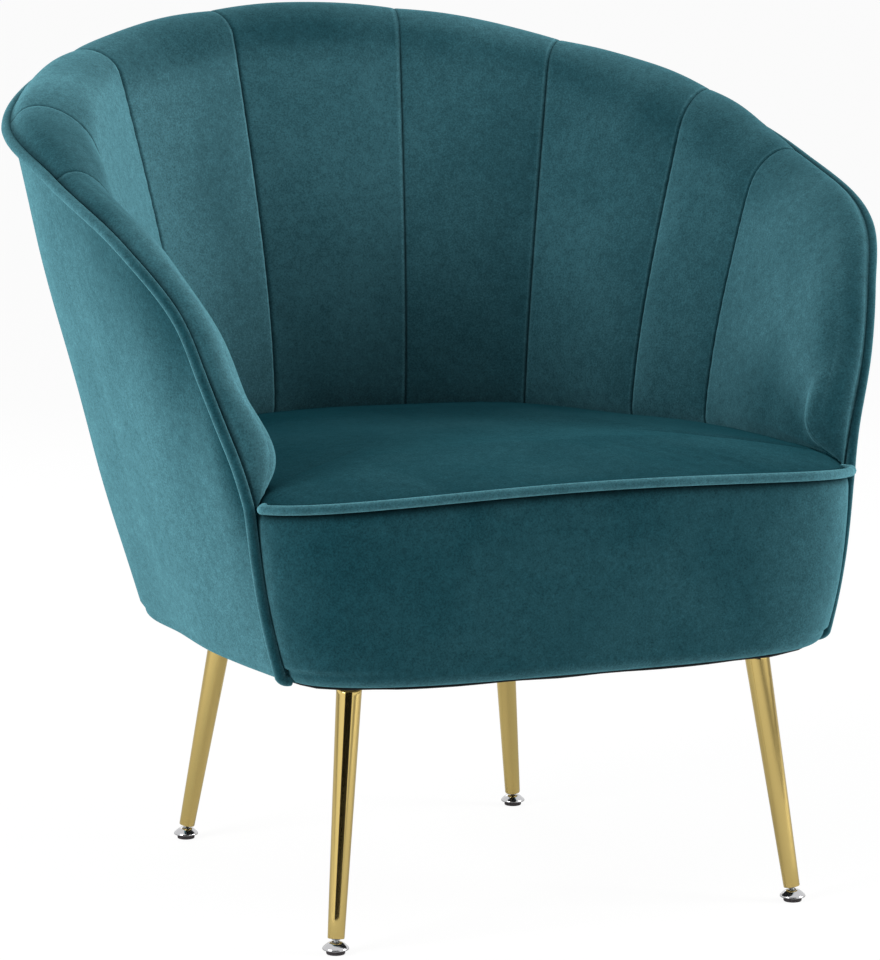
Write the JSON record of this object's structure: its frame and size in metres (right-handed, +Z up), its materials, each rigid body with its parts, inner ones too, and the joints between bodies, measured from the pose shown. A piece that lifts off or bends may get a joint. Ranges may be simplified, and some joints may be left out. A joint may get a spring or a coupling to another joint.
{
  "type": "scallop back tub chair",
  "caption": "Upholstered tub chair with a curved channel back that sweeps down into the arms, a tight crowned seat, piped edges and splayed tapered metal legs on swivel glides.",
  "frame": {"origin": "middle of the chair's outline in plan, at floor level", "axes": "+Z up, -Y towards the chair's front, +X towards the sitter's left hand"},
  "size_m": [0.8092, 0.7092, 0.8357],
  "materials": {
    "velvet": "teal velvet with a soft sheen",
    "beech": "sawn and planed hardwood",
    "plywood": "bent plywood",
    "gold": "polished gold plating",
    "bell_metal": "polished plating",
    "steel": "zinc plated",
    "spring_steel": "oiled dark",
    "rubber": "matte",
    "felt": "needled insulator felt",
    "dust_cloth": "black non-woven cloth"
  },
  "bodies": {
    "chair": {"channel_left_3": "velvet", "channel_left_2": "velvet", "channel_left_1": "velvet", "channel_middle": "velvet", "channel_right_1": "velvet", "channel_right_2": "velvet", "channel_right_3": "velvet", "arm_panel_left": "velvet", "arm_panel_right": "velvet", "outer_cover": "velvet", "front_apron": "velvet", "seat_cushion": "velvet", "rim_welt": "velvet", "seat_welt": "velvet", "rear_rail": "beech", "side_rail_left": "beech", "side_rail_right": "beech", "front_rail": "beech", "top_rail": "beech", "back_post_left": "beech", "back_post_right": "beech", "front_post_left": "beech", "front_post_right": "beech", "corner_block_front_left": "beech", "corner_block_front_right": "beech", "corner_block_rear_left": "beech", "corner_block_rear_right": "beech", "back_board": "plywood", "arm_board_left": "plywood", "arm_board_right": "plywood", "seat_spring_1": "spring_steel", "seat_spring_2": "spring_steel", "seat_spring_3": "spring_steel", "seat_spring_4": "spring_steel", "leg_bolt_front_left": "steel", "leg_bolt_front_right": "steel", "leg_bolt_rear_left": "steel", "leg_bolt_rear_right": "steel", "t_nut_front_left": "steel", "t_nut_front_right": "steel", "t_nut_rear_left": "steel", "t_nut_rear_right": "steel", "spring_felt": "felt", "dust_cover": "dust_cloth", "leg_front_left": "gold", "leg_front_right": "gold", "leg_rear_left": "gold", "leg_rear_right": "gold"},
    "glide_foot_front_left": {"glide_bell_front_left": "bell_metal", "glide_pad_front_left": "rubber"},
    "glide_stud_front_left": {"glide_stud_front_left": "steel"},
    "glide_foot_front_right": {"glide_bell_front_right": "bell_metal", "glide_pad_front_right": "rubber"},
    "glide_stud_front_right": {"glide_stud_front_right": "steel"},
    "glide_foot_rear_left": {"glide_bell_rear_left": "bell_metal", "glide_pad_rear_left": "rubber"},
    "glide_stud_rear_left": {"glide_stud_rear_left": "steel"},
    "glide_foot_rear_right": {"glide_bell_rear_right": "bell_metal", "glide_pad_rear_right": "rubber"},
    "glide_stud_rear_right": {"glide_stud_rear_right": "steel"}
  },
  "joints": [
    {"name": "glide_height_front_left", "type": "slide", "parent": "chair", "child": "glide_foot_front_left", "axis": [-0.1139, -0.1197, -0.9862], "range_m": [0, 0.0075]},
    {"name": "glide_screw_front_left", "type": "hinge", "parent": "glide_foot_front_left", "child": "glide_stud_front_left", "pos_m": [-0.23702, -0.29245, 0.0087], "axis": [-0.1139, -0.1197, -0.9862], "range_deg": [0, 2160]},
    {"name": "glide_height_front_right", "type": "slide", "parent": "chair", "child": "glide_foot_front_right", "axis": [0.1139, -0.1197, -0.9862], "range_m": [0, 0.0075]},
    {"name": "glide_screw_front_right", "type": "hinge", "parent": "glide_foot_front_right", "child": "glide_stud_front_right", "pos_m": [0.23702, -0.29245, 0.0087], "axis": [0.1139, -0.1197, -0.9862], "range_deg": [0, 2160]},
    {"name": "glide_height_rear_left", "type": "slide", "parent": "chair", "child": "glide_foot_rear_left", "axis": [-0.1329, 0.1481, -0.98], "range_m": [0, 0.0075]},
    {"name": "glide_screw_rear_left", "type": "hinge", "parent": "glide_foot_rear_left", "child": "glide_stud_rear_left", "pos_m": [-0.18401, 0.20148, 0.0087], "axis": [-0.1329, 0.1481, -0.98], "range_deg": [0, 2160]},
    {"name": "glide_height_rear_right", "type": "slide", "parent": "chair", "child": "glide_foot_rear_right", "axis": [0.1329, 0.1481, -0.98], "range_m": [0, 0.0075]},
    {"name": "glide_screw_rear_right", "type": "hinge", "parent": "glide_foot_rear_right", "child": "glide_stud_rear_right", "pos_m": [0.18401, 0.20148, 0.0087], "axis": [0.1329, 0.1481, -0.98], "range_deg": [0, 2160]}
  ],
  "couplings": [
    {"joint": "glide_screw_front_left", "follows": "glide_height_front_left", "rad_per_m": 5026.5},
    {"joint": "glide_screw_front_right", "follows": "glide_height_front_right", "rad_per_m": 5026.5},
    {"joint": "glide_screw_rear_left", "follows": "glide_height_rear_left", "rad_per_m": 5026.5},
    {"joint": "glide_screw_rear_right", "follows": "glide_height_rear_right", "rad_per_m": 5026.5}
  ]
}
